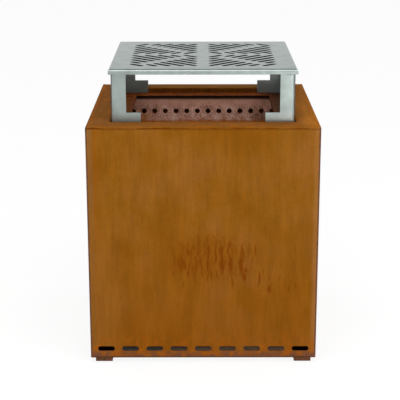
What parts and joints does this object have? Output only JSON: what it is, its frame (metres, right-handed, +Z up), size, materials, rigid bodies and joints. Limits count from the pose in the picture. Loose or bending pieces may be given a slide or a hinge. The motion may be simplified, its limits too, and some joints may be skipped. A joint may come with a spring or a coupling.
{
  "type": "smokeless fire pit",
  "caption": "Square weathering-steel fire pit with a drop-in burn chamber, a fire grate over an ash pan and a slotted cooking stand on the chamber's top ring.",
  "frame": {"origin": "on the ground, under the middle of the square body", "axes": "+Z up, -Y towards the front that the picture shows, +X to the right seen from the front"},
  "size_m": [0.4, 0.4, 0.521],
  "materials": {
    "weathering_steel": "matt rust patina, golden brown with run marks",
    "fired_steel": "matt, heat-dulled brown",
    "scaled_steel": "dark mill scale",
    "zinc_steel": "zinc-coated, satin grey"
  },
  "bodies": {
    "body": {"front_panel": "weathering_steel", "right_panel": "weathering_steel", "back_panel": "weathering_steel", "left_panel": "weathering_steel", "base_plate": "weathering_steel", "foot_front_left": "weathering_steel", "foot_front_right": "weathering_steel", "foot_back_right": "weathering_steel", "foot_back_left": "weathering_steel"},
    "burn_chamber": {"chamber_front_wall": "fired_steel", "chamber_right_wall": "fired_steel", "chamber_back_wall": "fired_steel", "chamber_left_wall": "fired_steel", "chamber_top_ring": "weathering_steel", "grate_bracket_front": "fired_steel", "grate_bracket_right": "fired_steel", "grate_bracket_back": "fired_steel", "grate_bracket_left": "fired_steel"},
    "fire_grate": {"fire_grate": "scaled_steel"},
    "ash_pan": {"ash_pan": "scaled_steel"},
    "cooking_stand": {"cooking_plate": "zinc_steel", "stand_leg_front_left": "zinc_steel", "stand_leg_front_right": "zinc_steel", "stand_leg_back_right": "zinc_steel", "stand_leg_back_left": "zinc_steel"}
  },
  "joints": [
    {"name": "burn_chamber_lift", "type": "slide", "parent": "body", "child": "burn_chamber", "axis": [0, 0, 1], "range_m": [0, 0.43]},
    {"name": "cooking_stand_lift", "type": "slide", "parent": "burn_chamber", "child": "cooking_stand", "axis": [0, 0, 1], "range_m": [0, 0.15]},
    {"name": "fire_grate_lift", "type": "slide", "parent": "burn_chamber", "child": "fire_grate", "axis": [0, 0, 1], "range_m": [0, 0.42]},
    {"name": "ash_pan_lift", "type": "slide", "parent": "body", "child": "ash_pan", "axis": [0, 0, 1], "range_m": [0, 0.038]}
  ]
}
